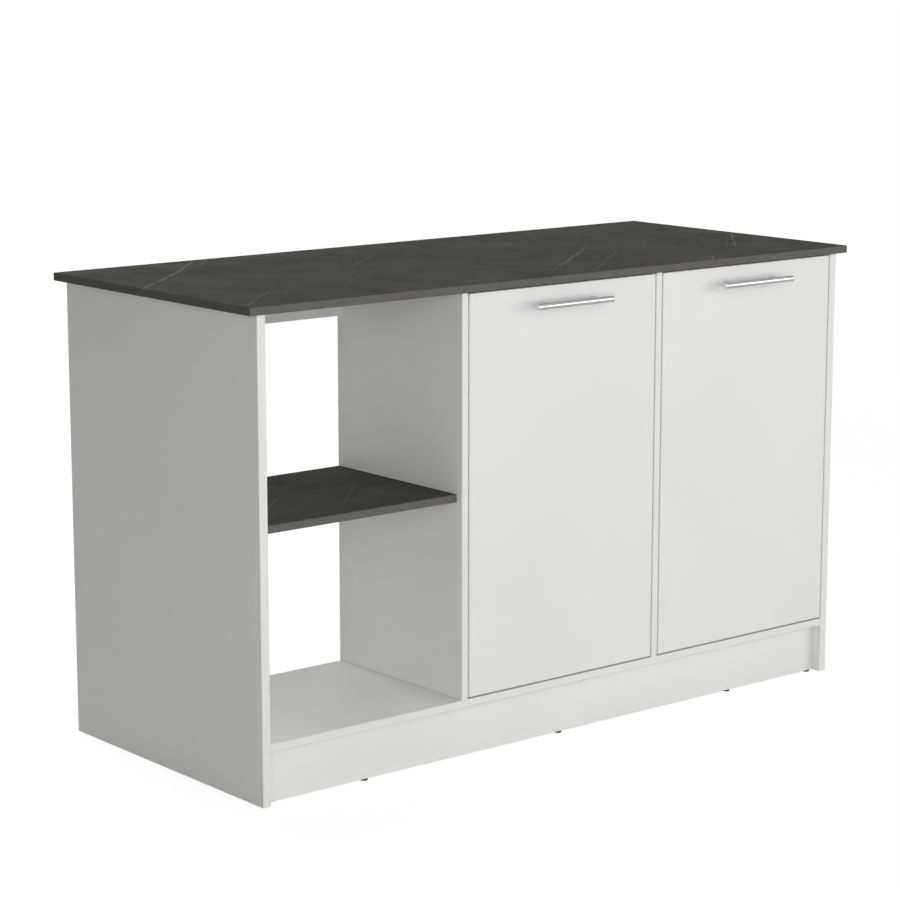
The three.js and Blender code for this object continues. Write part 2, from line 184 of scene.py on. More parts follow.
def depth_in_board(finish):
    """Along each axis, the distance from a point of a board to the nearer of the board's two outer planes."""
    place = finish.place()
    to_low = finish.vector("SUBTRACT", place, finish.attribute("board_low"))
    to_high = finish.vector("SUBTRACT", finish.attribute("board_high"), place)
    return finish.vector("MINIMUM", to_low, to_high)


def white_board():
    """Matt white melamine on particleboard, with a matching edge band and bare board inside a hole."""
    finish = Finish("white_board")
    place = finish.place()
    nearest = depth_in_board(finish)
    sides = [finish.part(nearest, axis) for axis in "XYZ"]

    # Of the three distances the least is the face itself, so the middle one tells how far off an edge is.
    least = finish.calc("MINIMUM", finish.calc("MINIMUM", sides[0], sides[1]), sides[2])
    most = finish.calc("MAXIMUM", finish.calc("MAXIMUM", sides[0], sides[1]), sides[2])
    total = finish.calc("ADD", finish.calc("ADD", sides[0], sides[1]), sides[2])
    middle = finish.calc("SUBTRACT", total, finish.calc("ADD", least, most))
    off_line = finish.calc("ABSOLUTE", finish.calc("SUBTRACT", middle, BOARD_EDGE + BAND_LINE))
    glue_line = finish.ramp(off_line, 0.0, BAND_LINE, 1.0, 0.0, smooth=True)
    inside_hole = finish.ramp(least, *HOLE_WALL)

    cloud = finish.noise(place, scale=3.0, detail=2.0)
    melamine = finish.tinted(cloud, *NOISE_SPREAD, MELAMINE)
    lined = finish.mix(finish.calc("MULTIPLY", glue_line, GLUE_SHOWS), melamine, GLUE)
    chips = finish.noise(place, scale=600.0, detail=4.0, roughness=0.7)
    chipboard = finish.tinted(chips, 0.4, 0.6, CHIPBOARD)
    colour = finish.mix(inside_hole, lined, chipboard)

    pebble = finish.noise(place, scale=900.0, detail=2.0, roughness=0.6)
    sheen = finish.ramp(finish.noise(place, scale=14.0, detail=4.0), 0.3, 0.7, 0.46, 0.54)
    relief = finish.calc("SUBTRACT", pebble, finish.calc("MULTIPLY", glue_line, GLUE_DENT))
    bump = finish.bump(relief, PEBBLE_HEIGHT)
    return finish.surface(
        Base_Color=colour, Roughness=sheen, Specular_IOR_Level=MELAMINE_GLOSS, Normal=bump
    )


# The pale veins that stand out on the worktop: start and end from the middle of its top and the line's width,
# all in mm, and how strongly it stands out.
VEINS = [
    ((-750, 13), (-609, 135), 3.6, 0.9),
    ((-609, 135), (-530, 215), 6.0, 1.0),
    ((-530, 215), (-449, 299), 4.2, 0.9),
    ((-462, 250), (-405, 315), 4.5, 1.0),
    ((-446, 225), (-368, 304), 3.0, 0.35),
    ((-731, -289), (-640, -201), 2.8, 0.6),
    ((-640, -201), (-545, -110), 3.0, 0.4),
    ((-468, -209), (-374, -116), 3.0, 0.35),
    ((-250, 45), (-120, 155), 2.6, 0.6),
    ((-8, -263), (60, -207), 3.2, 0.4),
    ((60, -207), (240, -62), 3.6, 0.9),
    ((240, -62), (330, 10), 3.6, 0.6),
    ((81, -288), (200, -190), 3.0, 0.35),
    ((200, -190), (307, -99), 3.4, 0.5),
    ((372, -313), (400, -279), 3.4, 1.0),
    ((562, -183), (729, -9), 6.0, 0.5),
    ((537, -183), (689, -40), 4.0, 0.25),
    ((-300, 315), (-180, 185), 2.0, 0.6),
]
VEIN_CORE, VEIN_RIM = 0.15, 0.75  # a vein fades from its core to its rim, both as shares of its width
VEIN_SHOWS = 0.85
VEIN_WOBBLES = ((9.0, 14 * MM), (38.0, 6.3 * MM))  # the scales and reaches of the noises that bend the veins

STONE = ((0.061, 0.061, 0.057), (0.09, 0.089, 0.083))
STONE_VEIN = (0.26, 0.255, 0.24)
STONE_SPECK = (0.16, 0.16, 0.15)
CLOUD_SHARE = 0.6  # of the mottle. The rest is the smaller blotches.
STONE_BAND = ((0.13, 0.129, 0.122), (0.152, 0.151, 0.143))
BAND_STRETCH = (60.0, 60.0, 260.0)  # the band's print runs along it
# Painted shade: a dark colour mixed into the edge bands on the worktop's ends, as if less light fell on them.
END_PAINTED_SHADE = (0.05, 0.05, 0.047)
END_PAINTED_SHADE_SHARE = 0.28  # the share of this painted shade in the bands on the boards' ends
EDGE_TURN = (0.5, 0.8)  # how far a surface faces along an axis where one side of a board's edge takes over
STONE_RELIEF = 0.05 * MM
STONE_GLOSS = 0.012
FLAT = (1.0, 1.0, 0.0)  # times a place, this leaves out its height


def vein(finish, place, start, end, width, strength):
    """How strongly a point lies on one vein: its distance from the line between two points of the worktop."""
    along = Vector((end[0] - start[0], end[1] - start[1], 0)) * MM
    origin = Vector((WORKTOP_CENTRE.x, WORKTOP_CENTRE.y, 0)) + Vector((*start, 0)) * MM
    offset = finish.vector("SUBTRACT", place, tuple(origin))
    reached = finish.scalar("DOT_PRODUCT", offset, tuple(along))
    share = finish.calc("MULTIPLY", reached, 1 / along.length_squared, clamp=True)
    foot = finish.scaled(tuple(along), share)
    away = finish.node("VectorMath", {0: finish.vector("SUBTRACT", offset, foot)}, operation="LENGTH")
    core, rim = VEIN_CORE * width * MM, VEIN_RIM * width * MM
    return finish.ramp(away.outputs["Value"], core, rim, strength, 0.0, smooth=True)


def stone_laminate():
    """Matt charcoal laminate, mottled, with pale veins. Its edge bands are lighter, less so at the ends,
    where painted shade darkens them.
    """
    finish = Finish("stone_laminate")
    place = finish.place()
    moved = place
    for scale, reach in VEIN_WOBBLES:
        wobble = finish.vector("SUBTRACT", finish.noise_vector(place, scale), (0.5, 0.5, 0.5))
        moved = finish.vector("ADD", moved, finish.scaled(wobble, reach))
    flat = finish.vector("MULTIPLY", moved, FLAT)

    cloud = finish.noise(place, scale=8.0, detail=7.0, roughness=0.62, distortion=0.5)
    blotch = finish.noise(place, scale=70.0, detail=6.0, roughness=0.7)
    grain = finish.noise(place, scale=600.0, detail=3.0, roughness=0.65)
    clouded = finish.calc("MULTIPLY", cloud, CLOUD_SHARE)
    mottle = finish.calc("ADD", clouded, finish.calc("MULTIPLY", blotch, 1 - CLOUD_SHARE))
    top = finish.tinted(mottle, 0.4, 0.62, STONE)

    veins = 0.0
    for line in VEINS:
        veins = finish.calc("MAXIMUM", veins, vein(finish, flat, *line))
    broken = finish.ramp(finish.noise(place, scale=24.0, detail=4.0), 0.34, 0.56, 0.35, 1.0)
    on_top = finish.ramp(finish.part(finish.normal(), "Z"), 0.6, 0.9)
    veins = finish.calc("MULTIPLY", finish.calc("MULTIPLY", veins, broken), on_top)
    veined = finish.mix(finish.calc("MULTIPLY", veins, VEIN_SHOWS), top, STONE_VEIN)

    band_print = finish.noise(finish.vector("MULTIPLY", place, BAND_STRETCH), scale=1.0, detail=5.0)
    band = finish.tinted(band_print, *NOISE_SPREAD, STONE_BAND)
    # Painted shade: the bands on the ends are darkened.
    on_end = finish.ramp(finish.faces_along("X"), *EDGE_TURN, 0.0, END_PAINTED_SHADE_SHARE)
    band = finish.mix(on_end, band, END_PAINTED_SHADE)
    on_edge = finish.ramp(finish.faces_along("Z"), *EDGE_TURN, 1.0, 0.0)
    colour = finish.mix(on_edge, veined, band)
    speckled = finish.mix(finish.ramp(grain, 0.55, 0.75, 0.0, 0.1), colour, STONE_SPECK)

    sheen = finish.ramp(mottle, *NOISE_SPREAD, 0.72, 0.62)
    bump = finish.bump(finish.calc("ADD", grain, cloud), STONE_RELIEF)
    return finish.surface(
        Base_Color=speckled, Roughness=sheen, Specular_IOR_Level=STONE_GLOSS, Normal=bump
    )


# Painted shade: the steel is darkened to stand in for the dark surroundings that it reflects. The noise
# between the two greys is the real brushing.
BRUSHED_STEEL_PAINTED_DARK = ((0.37, 0.375, 0.38), (0.41, 0.415, 0.42))
BRUSH_STRETCH = (30.0, 2600.0, 2600.0)  # the lines run along the bar
BRUSH_DEPTH = 0.0015 * MM
# Painted reflection: the ends get a brighter colour so that they show light.
END_PAINTED_BRIGHT = (0.72, 0.73, 0.74)
END_ROUGHNESS = 0.4


def handle_steel():
    """Satin steel, brushed along the bar, darkened as painted shade for the dark surroundings that it
    reflects, with ends painted brighter as a painted reflection.
    """
    finish = Finish("handle_steel")
    place = finish.place()
    brushed = finish.noise(finish.vector("MULTIPLY", place, BRUSH_STRETCH), scale=1.0, detail=3.0)
    # The brushed tint, darkened as painted shade.
    tint = finish.tinted(brushed, *NOISE_SPREAD, BRUSHED_STEEL_PAINTED_DARK)
    # Painted reflection: the ends are mixed towards the brighter colour.
    on_end = finish.ramp(finish.faces_along("X"), 0.3, 0.6)
    ended = finish.mix(on_end, tint, END_PAINTED_BRIGHT)
    along_bar = finish.ramp(brushed, 0.3, 0.7, 0.15, 0.19)
    sheen = finish.calc("MAXIMUM", along_bar, finish.calc("MULTIPLY", on_end, END_ROUGHNESS))
    bump = finish.bump(brushed, BRUSH_DEPTH)
    return finish.surface(Base_Color=ended, Metallic=1.0, Roughness=sheen, Normal=bump)


NICKEL = ((0.6, 0.59, 0.56), (0.56, 0.55, 0.52))
PLATING_UNEVEN = 0.006 * MM


def nickel_steel():
    """Nickel-plated pressed steel, with the soft unevenness of a plated stamping."""
    finish = Finish("nickel_steel")
    place = finish.place()
    dull = finish.noise(place, scale=180.0, detail=4.0, roughness=0.6)
    tint = finish.tinted(dull, 0.35, 0.7, NICKEL)
    sheen = finish.ramp(dull, 0.3, 0.7, 0.25, 0.32)
    bump = finish.bump(finish.noise(place, scale=420.0, detail=2.0), PLATING_UNEVEN)
    return finish.surface(Base_Color=tint, Metallic=1.0, Roughness=sheen, Normal=bump)


BLACK_PLASTIC = (0.018, 0.018, 0.018)
SCUFF = (0.11, 0.11, 0.11)
SCUFF_SHOWS = 0.6
SCUFF_FADE = (0.2 * MM, 1.6 * MM)  # the scuffs end between these heights above the floor
SCUFF_DEPTH = 0.03 * MM


def glide_plastic():
    """Black moulded plastic, scuffed where it stands on the floor."""
    finish = Finish("glide_plastic")
    place = finish.place()
    scuffs = finish.noise(place, scale=900.0, detail=5.0, roughness=0.7)
    low_down = finish.ramp(finish.part(place, "Z"), *SCUFF_FADE, 1.0, 0.0)
    worn = finish.calc("MULTIPLY", low_down, finish.ramp(scuffs, 0.5, 0.65))
    tint = finish.mix(finish.calc("MULTIPLY", worn, SCUFF_SHOWS), BLACK_PLASTIC, SCUFF)
    sheen = finish.ramp(scuffs, *NOISE_SPREAD, 0.45, 0.65)
    return finish.surface(Base_Color=tint, Roughness=sheen, Normal=finish.bump(scuffs, SCUFF_DEPTH))


FINISHES = {
    "white_board": white_board(),
    "stone_laminate": stone_laminate(),
    "handle_steel": handle_steel(),
    "nickel_steel": nickel_steel(),
    "glide_plastic": glide_plastic(),
}


def finish_nodes():
    """Gives every CAD node its slot's finish, and every board its own two corners."""
    slots = {row["node"]: row["material_slot"] for row in frame["record"]["subparts"]}
    for name, node in frame["nodes"].items():
        node.data.materials.clear()
        node.data.materials.append(FINISHES[slots[name]])
        low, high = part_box(name)
        node["board_low"] = list(low)
        node["board_high"] = list(high)


finish_nodes()


# ---- Meshes in code ----

SHARP_TURN = math.radians(28)  # faces that meet at more than this keep a crisp edge between them


def shade(mesh_data):
    """Rounds are shaded smooth, and real edges stay crisp."""
    bmesh.ops.recalc_face_normals(mesh_data, faces=mesh_data.faces)
    for face in mesh_data.faces:
        face.smooth = True
    for edge in mesh_data.edges:
        edge.smooth = edge.is_manifold and edge.calc_face_angle() < SHARP_TURN


def add_piece(name, mesh_data, slot, body, replaced=()):
    """Turns mesh data into a piece of the object that rides on a body."""
    shade(mesh_data)
    mesh = bpy.data.meshes.new(name)
    mesh_data.to_mesh(mesh)
    mesh_data.free()
    mesh.materials.append(FINISHES[slot])
    made = bpy.data.objects.new(name, mesh)
    bpy.context.scene.collection.objects.link(made)
    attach(made, body)
    if replaced:
        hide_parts(*replaced)


def loop_of(mesh_data, points):
    return [mesh_data.verts.new(point) for point in points]


def skin(mesh_data, loops):
    """Quads between closed loops of as many points each."""
    for first, second in zip(loops, loops[1:]):
        for i in range(len(first)):
            j = (i + 1) % len(first)
            mesh_data.faces.new((first[i], first[j], second[j], second[i]))


def circle(radius, sides):
    turns = [2 * math.pi * i / sides for i in range(sides)]
    return [(radius * math.cos(t), radius * math.sin(t)) for t in turns]


def round_wall(mesh_data, profile, sides):
    """The round wall on the Z axis through (radius, height) points. Returns its rings."""
    rings = []
    for radius, height in profile:
        rings.append(loop_of(mesh_data, [(x, y, height) for x, y in circle(radius, sides)]))
    skin(mesh_data, rings)
    return rings


def lathe(profile, sides):
    """A round solid on the Z axis from (radius, height) points, whose first and last are on the axis."""
    mesh_data = bmesh.new()
    rings = round_wall(mesh_data, profile[1:-1], sides)
    for ring, (_, height) in ((rings[0], profile[0]), (rings[-1], profile[-1])):
        tip = mesh_data.verts.new((0.0, 0.0, height))
        for i in range(sides):
            mesh_data.faces.new((ring[i], ring[(i + 1) % sides], tip))
    return mesh_data


def rounded_profile(radius, height, fillet, steps=4):
    """Half the outline of a round disc or rod from z = 0 to height, with a rounded edge at each end."""
    turns = [math.pi / 2 * i / steps for i in range(steps + 1)]
    inner = radius - fillet
    low = [(inner + fillet * math.sin(t), fillet - fillet * math.cos(t)) for t in turns]
    high = [(inner + fillet * math.cos(t), height - fillet + fillet * math.sin(t)) for t in turns]
    return [(0.0, 0.0), *low, *high, (0.0, height)]


def flat_face(mesh_data, loops):
    """A flat face inside the first loop and outside the others."""
    edges = []
    for loop in loops:
        for i, vertex in enumerate(loop):
            pair = (vertex, loop[(i + 1) % len(loop)])
            edges.append(mesh_data.edges.get(pair) or mesh_data.edges.new(pair))
    bmesh.ops.triangle_fill(mesh_data, edges=edges, use_beauty=True)


def cross(arm, half_width):
    """The outline of a cross-shaped recess."""
    w = half_width
    quarter = [(arm, -w), (arm, w), (w, w)]
    points = []
    for turn in range(4):
        for x, y in quarter:
            for _ in range(turn):
                x, y = -y, x
            points.append((x, y))
    return points


def recess(mesh_data, outline, top, floor_height, taper):
    """A blind recess from a flat top, with its floor's outline smaller by taper. Returns its mouth."""
    mouth = loop_of(mesh_data, [(x, y, top) for x, y in outline])
    bottom = loop_of(mesh_data, [(taper * x, taper * y, floor_height) for x, y in outline])
    skin(mesh_data, [mouth, bottom])
    flat_face(mesh_data, [bottom])
    return mouth


SCREW_SIDES = 32
CROWN_STEPS = 5
# Shares of a screw head's radius, and of its height for the recess's floor.
CROWN_FLAT = 0.55
CROSS_ARM = 0.46
CROSS_HALF_WIDTH = 0.11
CROSS_FLOOR = 0.35
CROSS_TAPER = 0.8


def screw_head(radius, height, crown):
    """A domed screw head that stands up from z = 0, with a cross recess in it."""
    side_height = height - crown
    profile = [(radius, 0.0), (radius, side_height)]
    flat = CROWN_FLAT * radius
    for i in range(1, CROWN_STEPS + 1):
        t = math.pi / 2 * i / CROWN_STEPS
        profile.append((flat + (radius - flat) * math.cos(t), side_height + crown * math.sin(t)))
    mesh_data = bmesh.new()
    rings = round_wall(mesh_data, profile, SCREW_SIDES)
    flat_face(mesh_data, [rings[0]])
    outline = cross(CROSS_ARM * radius, CROSS_HALF_WIDTH * radius)
    mouth = recess(mesh_data, outline, height, CROSS_FLOOR * height, CROSS_TAPER)
    flat_face(mesh_data, [rings[-1], mouth])
    return mesh_data


def merged(parts):
    """Several mesh datas, each with its own transforms, as one."""
    whole = bmesh.new()
    for mesh_data, transforms in parts:
        for transform in transforms:
            copy = bpy.data.meshes.new("copy")
            mesh_data.to_mesh(copy)
            copy.transform(transform)
            whole.from_mesh(copy)
            bpy.data.meshes.remove(copy)
        mesh_data.free()
    return whole


def facing(place, direction, spin=0.0):
    """Puts something drawn along +Z at a place, with its +Z along a direction."""
    turn = Vector(direction).to_track_quat("Z", "Y").to_matrix().to_4x4()
    return Matrix.Translation(Vector(place)) @ turn @ Matrix.Rotation(spin, 4, "Z")


# ---- Rounded copies of the small metal parts ----

FILLET = 0.18 * MM
WELD = 0.002 * MM
FLAT_TURN = math.radians(0.5)  # faces that meet at less than this are one flat


def body_of(node):
    bodies = frame["record"]["behaviour"]["bodies"]
    return next(body for body, nodes in bodies.items() if node in nodes)


def rounded_copy(node, slot):
    """A copy of a small CAD part with its flats joined, its edges rounded and its rounds shaded smooth."""
    mesh_data = bmesh.new()
    mesh_data.from_mesh(frame["nodes"][node].data)
    bmesh.ops.remove_doubles(mesh_data, verts=mesh_data.verts, dist=WELD)
    bmesh.ops.dissolve_limit(mesh_data, angle_limit=FLAT_TURN, verts=mesh_data.verts, edges=mesh_data.edges)
    sharp = [edge for edge in mesh_data.edges if edge.is_manifold and edge.calc_face_angle() > SHARP_TURN]
    bmesh.ops.bevel(
        mesh_data, geom=sharp, offset=FILLET, segments=2, profile=0.5, affect="EDGES", clamp_overlap=True
    )
    add_piece(f"{node}_finished", mesh_data, slot, body_of(node), [node])


# ---- Handles ----

HANDLE_SIDES = 64
HANDLE_END = 0.8 * MM  # the turned-off edge at each end of the bar
POST_FOOT = 0.3 * MM  # the turned-off edge at the foot of a post
POST_SIDES = ("hinge_side", "closing_side")


def handle(door):
    """The bar and its two posts."""
    bar_low, bar_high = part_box(f"{door}_handle_bar")
    centre = (bar_low + bar_high) / 2
    radius = (bar_high.z - bar_low.z) / 2
    length = bar_high.x - bar_low.x
    bar = lathe(rounded_profile(radius, length, HANDLE_END), HANDLE_SIDES)
    bar.transform(facing((bar_low.x, centre.y, centre.z), (1, 0, 0)))
    add_piece(f"{door}_handle_bar_turned", bar, "handle_steel", door, [f"{door}_handle_bar"])

    for side in POST_SIDES:
        handle_post(door, f"{door}_handle_post_{side}", centre, radius)


def handle_post(door, node, bar_centre, bar_radius):
    """A post from the door's face, turned off at its foot, with its end hollowed to fit round the bar."""
    low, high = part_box(node)
    post_radius = (high.x - low.x) / 2
    post_x = (low.x + high.x) / 2
    mesh_data = bmesh.new()
    ring = circle(post_radius, HANDLE_SIDES)
    foot_ring = circle(post_radius - POST_FOOT, HANDLE_SIDES)
    foot = loop_of(mesh_data, [(post_x + x, high.y, bar_centre.z + z) for x, z in foot_ring])
    start = loop_of(mesh_data, [(post_x + x, high.y - POST_FOOT, bar_centre.z + z) for x, z in ring])
    saddle = []
    for x, z in ring:
        reach = math.sqrt(bar_radius ** 2 - z ** 2)
        saddle.append((post_x + x, bar_centre.y + reach, bar_centre.z + z))
    end = loop_of(mesh_data, saddle)
    skin(mesh_data, [foot, start, end])
    flat_face(mesh_data, [foot])
    # The hollow end is closed by strips across it, from one side of the ring to the other.
    for i in range(HANDLE_SIDES // 2):
        left, right = end[i], end[i + 1]
        far_left, far_right = end[-i % HANDLE_SIDES], end[-(i + 1) % HANDLE_SIDES]
        corners = list(dict.fromkeys((left, right, far_right, far_left)))
        mesh_data.faces.new(corners)
    add_piece(f"{node}_turned", mesh_data, "handle_steel", door, [node])


# ---- Fastenings ----

HANDLE_SCREW = {"radius": 4.2 * MM, "height": 2.3 * MM, "crown": 1.0 * MM}
CUP_SCREW = {"radius": 3.5 * MM, "height": 1.1 * MM, "crown": 0.7 * MM}
PLATE_SCREW = {"radius": 3.9 * MM, "height": 1.4 * MM, "crown": 0.9 * MM}
ARM_SCREW = {"radius": 4.0 * MM, "height": 1.8 * MM, "crown": 0.7 * MM}
ADJUSTER = {"radius": 2.6 * MM, "height": 1.2 * MM, "crown": 0.3 * MM}
PANEL_PIN = {"radius": 1.9 * MM, "height": 0.6 * MM, "crown": 0.35 * MM}
STRETCHER_SCREW = {"radius": 4.5 * MM, "height": 2.2 * MM, "crown": 1.0 * MM}

CUP_SCREW_Z = 24 * MM  # above and below the hinge's centre
PLATE_SCREW_Z = 16 * MM
PLATE_SCREW_DEPTH = 52 * MM  # behind the door's face
ARM_SCREW_DEPTH = 79 * MM
ADJUSTER_DEPTH = 60 * MM
WING_THICKNESS = 1.5 * MM  # of the mounting plate, under its screws
ARM_STAND_OFF = 8.0 * MM  # from the cupboard wall to the arm's outer face
SCREW_TURN = 0.7  # radians from one screw's cross to the next one's


def screws(name, body, size, places, direction):
    """A set of like screws that face one way. Each cross recess is turned a little differently."""
    made = screw_head(**size)
    transforms = [facing(place, direction, spin=SCREW_TURN * i) for i, place in enumerate(places)]
    add_piece(name, merged([(made, transforms)]), "nickel_steel", body)


def handle_screws(door):
    _, panel_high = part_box(f"{door}_panel")
    places = []
    for side in POST_SIDES:
        low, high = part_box(f"{door}_handle_post_{side}")
        places.append(((low.x + high.x) / 2, panel_high.y, (low.z + high.z) / 2))
    screws(f"{door}_handle_screws", door, HANDLE_SCREW, places, (0, 1, 0))


def hinge_screws(door):
    """The screws of a door's hinges: two in each cup's ears, two in each plate, and two in each arm."""
    panel_low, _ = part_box(f"{door}_panel")
    cup_places, plate_places, arm_places, adjuster_places = [], [], [], []
    for level in HINGE_LEVELS:
        cup_low, cup_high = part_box(f"{door}_{level}_hinge_cup")
        plate_low, plate_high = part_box(f"{door}_{level}_hinge_plate")
        middle = (cup_low.z + cup_high.z) / 2
        cup_x = (cup_low.x + cup_high.x) / 2
        # The plate is on the cupboard wall, on the far side of the hinge from the cup.
        inward = 1 if cup_x > plate_low.x else -1
        wall = plate_low.x if inward > 0 else plate_high.x
        wing = wall + inward * WING_THICKNESS
        web = wall + inward * ARM_STAND_OFF
        for way in (1, -1):
            cup_places.append((cup_x, cup_high.y, middle + way * CUP_SCREW_Z))
            plate_places.append((wing, panel_low.y + PLATE_SCREW_DEPTH, middle + way * PLATE_SCREW_Z))
        arm_places.append((web, panel_low.y + ARM_SCREW_DEPTH, middle))
        adjuster_places.append((web, panel_low.y + ADJUSTER_DEPTH, middle))
    screws(f"{door}_hinge_cup_screws", door, CUP_SCREW, cup_places, (0, 1, 0))
    screws(f"{door}_hinge_plate_screws", "carcass", PLATE_SCREW, plate_places, (inward, 0, 0))
    screws(f"{door}_hinge_arm_screws", "carcass", ARM_SCREW, arm_places, (inward, 0, 0))
    screws(f"{door}_hinge_adjusters", "carcass", ADJUSTER, adjuster_places, (inward, 0, 0))


def evenly(start, end, spacing):
    """Places from start to end, about a spacing apart."""
    count = max(round(abs(end - start) / spacing), 1)
    return [start + (end - start) * i / count for i in range(count + 1)]


PIN_SPACING = 115 * MM
PIN_INSET = 7.5 * MM


def panel_pins():
    """The small pins that hold the back sheet to the boards that it covers."""
    sheet_low, sheet_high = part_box("back_sheet")
    divider_low, divider_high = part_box("door_divider")
    left = sheet_low.x + PIN_INSET
    right = sheet_high.x - PIN_INSET
    low = sheet_low.z + PIN_INSET
    high = sheet_high.z - PIN_INSET
    middle = (divider_low.x + divider_high.x) / 2
    places = {(x, z) for z in (low, high) for x in evenly(left, right, PIN_SPACING)}
    places |= {(x, z) for x in (left, middle) for z in evenly(low, high, PIN_SPACING)}
    heads = [(x, sheet_high.y, z) for x, z in sorted(places)]
    screws("back_sheet_pins", "carcass", PANEL_PIN, heads, (0, 1, 0))


STRETCHER_SCREW_SHARES = (0.2, 0.8)  # of the stretcher's length


def stretcher_screws():
    """The screws that go up through each flat stretcher into the worktop."""
    places = []
    for bay in ("left", "right"):
        low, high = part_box(f"{bay}_cupboard_front_stretcher")
        for share in STRETCHER_SCREW_SHARES:
            places.append((low.x + share * (high.x - low.x), (low.y + high.y) / 2, low.z))
    screws("stretcher_screws", "carcass", STRETCHER_SCREW, places, (0, 0, -1))


CAM_RADIUS = 7.25 * MM
CAM_HEIGHT = 11.5 * MM
CAM_PROUD = 0.1 * MM
CAM_ROUNDING = 0.35 * MM
CAM_SIDES = 48
CAM_RECESS = 2.2 * MM
CAM_ARROW_DEPTH = 0.2 * CAM_RECESS
CAM_TAPER = 0.9
# Shares of the cam's radius.
CAM_CROSS_ARM = 0.42
CAM_CROSS_HALF_WIDTH = 0.12
CAM_ARROW_TIP = 0.86
CAM_ARROW_FOOT = 0.6
CAM_ARROW_HALF_WIDTH = 0.16
CAM_FROM_END = 34 * MM  # from the board's end to the middle of the cam
CAM_FROM_EDGE = 51 * MM


def cam():
    """A zinc cam that fills its bore from z = 0 down, with a cross recess and an arrow mark in its face."""
    mesh_data = bmesh.new()
    corner = 0.3 * CAM_ROUNDING  # how far the rounding's middle lies inside the sharp corner, each way
    profile = [(CAM_RADIUS, -CAM_HEIGHT), (CAM_RADIUS, CAM_PROUD - CAM_ROUNDING)]
    profile.append((CAM_RADIUS - corner, CAM_PROUD - corner))
    profile.append((CAM_RADIUS - CAM_ROUNDING, CAM_PROUD))
    rings = round_wall(mesh_data, profile, CAM_SIDES)
    flat_face(mesh_data, [rings[0]])
    foot = CAM_ARROW_FOOT * CAM_RADIUS
    half_width = CAM_ARROW_HALF_WIDTH * CAM_RADIUS
    arrow = [(CAM_ARROW_TIP * CAM_RADIUS, 0.0), (foot, half_width), (foot, -half_width)]
    slots = cross(CAM_CROSS_ARM * CAM_RADIUS, CAM_CROSS_HALF_WIDTH * CAM_RADIUS)
    mouths = []
    for outline, depth in ((slots, CAM_RECESS), (arrow, CAM_ARROW_DEPTH)):
        mouths.append(recess(mesh_data, outline, CAM_PROUD, CAM_PROUD - depth, CAM_TAPER))
    flat_face(mesh_data, [rings[-1], *mouths])
    return mesh_data


def cams():
    """The cam fittings, in the bores of the boards that they pull together."""
    rail_low, rail_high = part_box("open_bay_rear_rail")
    shelf_low, shelf_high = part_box("open_bay_shelf")
    _, panel_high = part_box("left_side_panel")
    far_low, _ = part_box("right_side_panel")
    places = []
    for x, way in ((rail_low.x + CAM_FROM_END, math.pi), (rail_high.x - CAM_FROM_END, 0.0)):
        places.append(facing((x, rail_high.y, (rail_low.z + rail_high.z) / 2), (0, 1, 0), way))
    for x, way in ((shelf_low.x + CAM_FROM_END, 0.0), (shelf_high.x - CAM_FROM_END, math.pi)):
        for y in (shelf_low.y + CAM_FROM_EDGE, shelf_high.y - CAM_FROM_EDGE):
            places.append(facing((x, y, shelf_low.z), (0, 0, -1), way))
    for bay in ("left", "right"):
        low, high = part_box(f"{bay}_cupboard_front_stretcher")
        for x, way in ((low.x + CAM_FROM_END, 0.0), (high.x - CAM_FROM_END, math.pi)):
            places.append(facing((x, (low.y + high.y) / 2, low.z), (0, 0, -1), way))
    # In the knee space a cam at the top of each side panel holds the worktop down.
    for x, direction in ((panel_high.x, 1), (far_low.x, -1)):
        spot = (x, panel_high.y - CAM_FROM_EDGE, panel_high.z - CAM_FROM_END)
        places.append(facing(spot, (direction, 0, 0), math.pi / 2))
    add_piece("cam_fittings", merged([(cam(), places)]), "nickel_steel", "carcass")


# ---- Glides ----

GLIDE_FILLET = 0.9 * MM
GLIDE_SIDES = 40
NAIL_RADIUS = 1.2 * MM
NAIL_FILLET = 0.3 * MM
NAIL_RAISED = 0.5 * MM  # above the floor, inside the plastic
NAIL_SIDES = 16


def glide(node):
    """The round plastic foot with its rolled rim, and its nail, which goes up into the plinth."""
    low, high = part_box(node)
    plinth_low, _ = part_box(node.split("_glide")[0] + "_plinth")
    radius = (high.x - low.x) / 2
    foot_height = plinth_low.z - low.z
    foot = lathe(rounded_profile(radius, foot_height, GLIDE_FILLET), GLIDE_SIDES)
    nail_height = high.z - low.z - NAIL_RAISED
    nail = lathe(rounded_profile(NAIL_RADIUS, nail_height, NAIL_FILLET, steps=2), NAIL_SIDES)
    centre = Matrix.Translation(Vector(((low.x + high.x) / 2, (low.y + high.y) / 2, low.z)))
    up = Matrix.Translation(Vector((0, 0, NAIL_RAISED)))
    whole = merged([(foot, [centre]), (nail, [centre @ up])])
    add_piece(f"{node}_moulded", whole, "glide_plastic", "carcass", [node])


# ---- Putting the fittings on ----

for door_name in DOORS:
    handle(door_name)
    handle_screws(door_name)
    hinge_screws(door_name)
    for level_name in HINGE_LEVELS:
        for hinge_part in ("cup", "pin", "arm", "plate"):
            rounded_copy(f"{door_name}_{level_name}_hinge_{hinge_part}", "nickel_steel")

for node_name in frame["nodes"]:
    if "_shelf_pin_" in node_name:
        rounded_copy(node_name, "nickel_steel")
    if "_glide_" in node_name:
        glide(node_name)

panel_pins()
stretcher_screws()
cams()


# ---- Floor, light and camera ----

FLOOR_SIZE = 60.0
FADE = (1.6, 4.5)  # between these distances the floor turns into plain white
FLOOR_PAINT = (0.8, 0.8, 0.8, 1.0)  # what the floor throws back on the object
FLOOR_SHOWN = (0.2, 0.2, 0.2, 1.0)  # what the camera sees of it, over its glow
FLOOR_GLOW = 0.9
PLAIN_WHITE = (1.0, 1.0, 1.0, 1.0)


